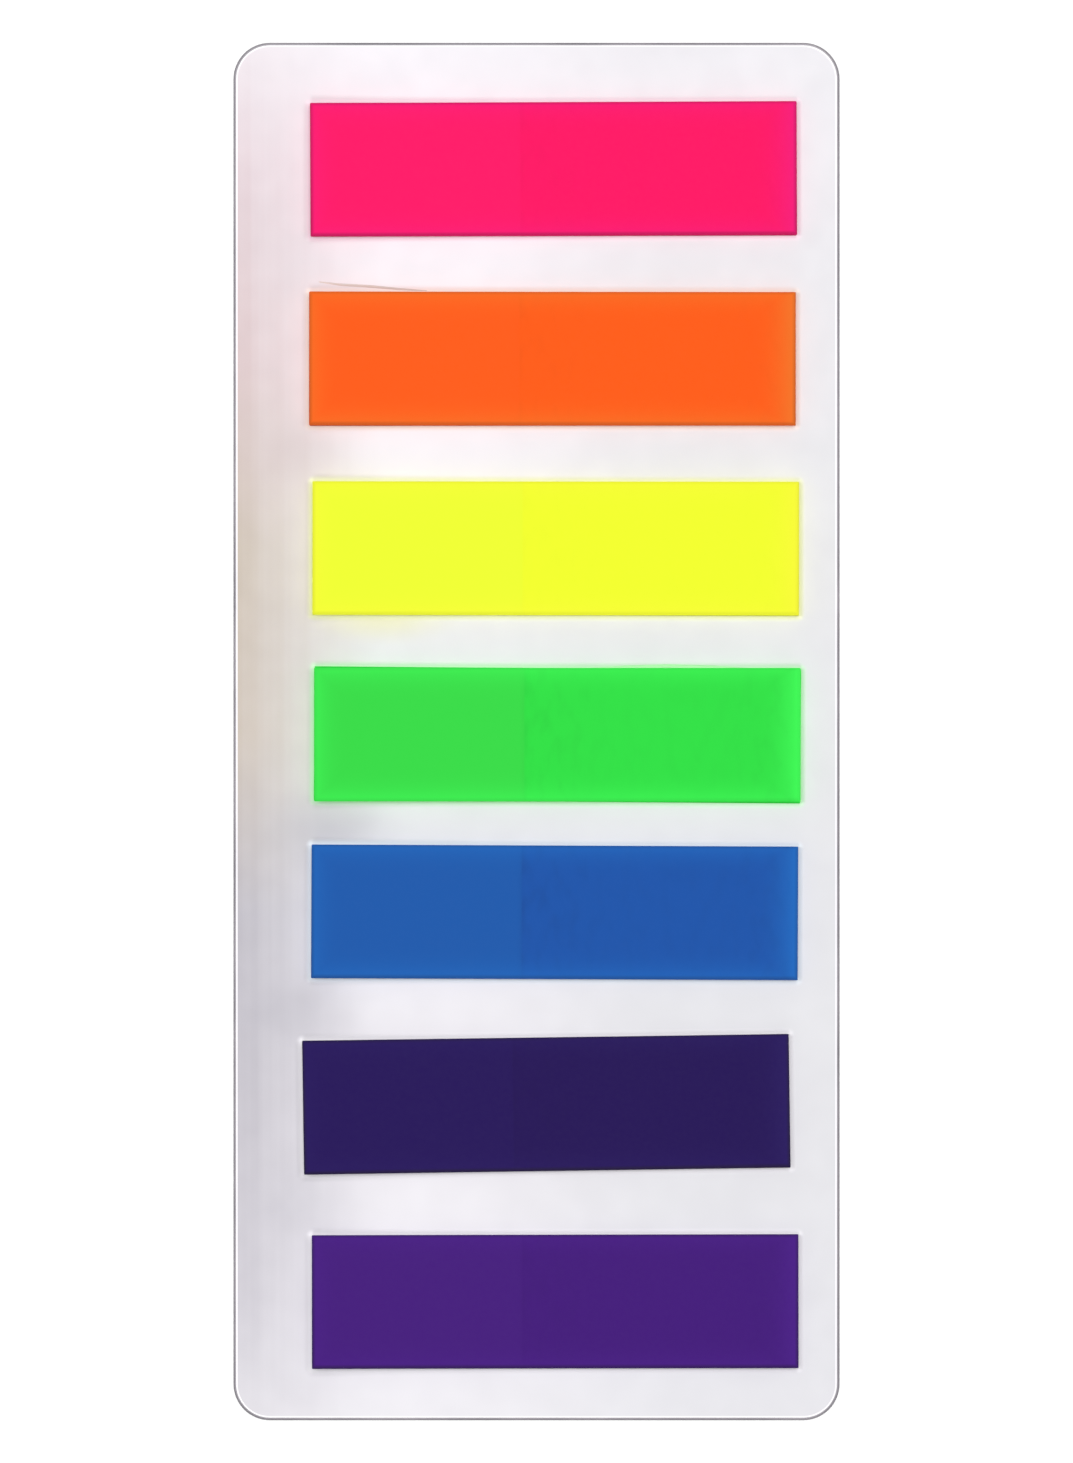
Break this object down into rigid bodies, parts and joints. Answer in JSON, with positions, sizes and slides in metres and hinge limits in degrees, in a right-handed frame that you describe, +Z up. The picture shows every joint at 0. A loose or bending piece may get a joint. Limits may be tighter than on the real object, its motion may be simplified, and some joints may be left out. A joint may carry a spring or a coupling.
{
  "type": "sticky index tabs",
  "caption": "Flat pads of tinted film index tabs in rainbow order, stuck in a column on a stiff glossy card with round corners.",
  "frame": {"origin": "middle of the card's underside, which lies on the desk", "axes": "+X across the card, from the tabs' bare grip ends to their gummed ends; +Y along the card towards the pink pad; +Z up, out of the card's face"},
  "size_m": [0.055, 0.125, 0.0025],
  "materials": {
    "card": "glossy pale plastic sheet",
    "pink_film": "fluorescent film, satin",
    "orange_film": "fluorescent film, satin",
    "yellow_film": "fluorescent film, satin",
    "green_film": "fluorescent film, satin",
    "blue_film": "tinted film, satin",
    "indigo_film": "tinted film, satin",
    "violet_film": "tinted film, satin"
  },
  "bodies": {
    "root": {"backing_card": "card", "pink_pad": "pink_film", "pink_top_flag": "pink_film", "orange_pad": "orange_film", "orange_top_flag": "orange_film", "yellow_pad": "yellow_film", "yellow_top_flag": "yellow_film", "green_pad": "green_film", "green_top_flag": "green_film", "blue_pad": "blue_film", "blue_top_flag": "blue_film", "indigo_pad": "indigo_film", "indigo_top_flag": "indigo_film", "violet_pad": "violet_film", "violet_top_flag": "violet_film"}
  },
  "joints": []
}
